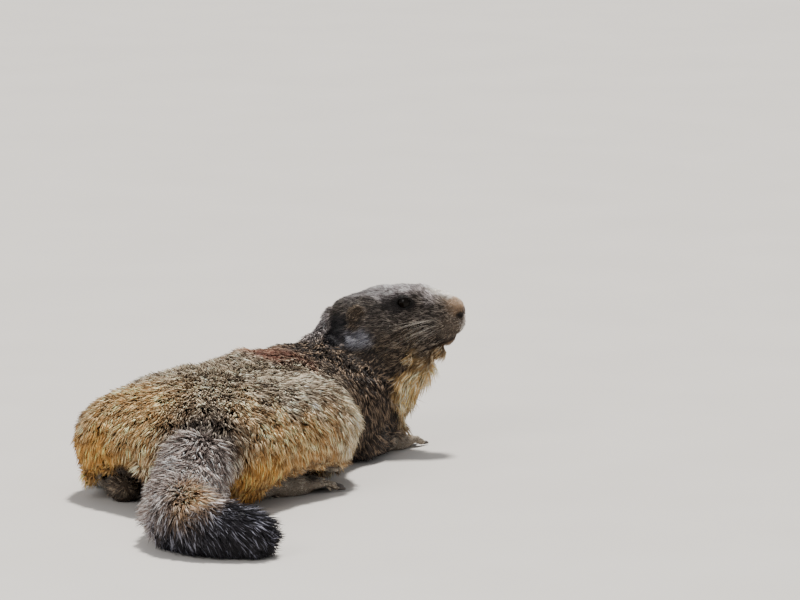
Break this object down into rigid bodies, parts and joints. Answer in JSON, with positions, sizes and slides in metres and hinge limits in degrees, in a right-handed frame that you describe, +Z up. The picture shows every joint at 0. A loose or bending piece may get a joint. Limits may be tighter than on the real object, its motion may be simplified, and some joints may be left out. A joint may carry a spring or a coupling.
{
  "type": "alpine marmot",
  "caption": "Life-size alpine marmot lying on its belly, head raised and turned to its right, bushy tail laid out behind.",
  "frame": {"origin": "on the floor below the middle of the belly, in the flat that the belly rests on", "axes": "+X forward along the loins, +Y to the animal's left, +Z up"},
  "size_m": [0.5235, 0.2926, 0.1286],
  "materials": {
    "grey_coat": "matte grizzled fur",
    "tan_coat": "matte orange-tan fur",
    "dark_coat": "matte dark brown fur",
    "face_coat": "short grey-brown fur",
    "foot_coat": "short pale grey fur",
    "claw_horn": "dark horn",
    "eye_dark": "wet dark eye",
    "nose_skin": "bare brown skin"
  },
  "bodies": {
    "root": {"hind_left_foot": "foot_coat", "hind_left_claw_1": "claw_horn", "hind_left_claw_2": "claw_horn", "hind_left_claw_3": "claw_horn", "hind_left_claw_4": "claw_horn", "hind_left_claw_5": "claw_horn", "hind_right_foot": "foot_coat", "hind_right_claw_1": "claw_horn", "hind_right_claw_2": "claw_horn", "hind_right_claw_3": "claw_horn", "hind_right_claw_4": "claw_horn", "hind_right_claw_5": "claw_horn", "fore_left_foot": "foot_coat", "fore_left_claw_1": "claw_horn", "fore_left_claw_2": "claw_horn", "fore_left_claw_3": "claw_horn", "fore_left_claw_4": "claw_horn", "fore_right_foot": "foot_coat", "fore_right_claw_1": "claw_horn", "fore_right_claw_2": "claw_horn", "fore_right_claw_3": "claw_horn", "fore_right_claw_4": "claw_horn", "hind_leg_left": "tan_coat", "hind_leg_right": "tan_coat", "upper_arm_left": "dark_coat", "upper_arm_right": "dark_coat", "rump": "grey_coat", "loins": "grey_coat", "chest": "dark_coat", "forearm_left": "dark_coat", "forearm_right": "dark_coat", "tail_base": "grey_coat", "tail_middle": "dark_coat", "tail_tip": "dark_coat", "neck": "dark_coat", "head": "face_coat", "nose": "nose_skin", "eye_left": "eye_dark", "ear_left": "face_coat", "eye_right": "eye_dark", "ear_right": "face_coat"}
  },
  "joints": []
}
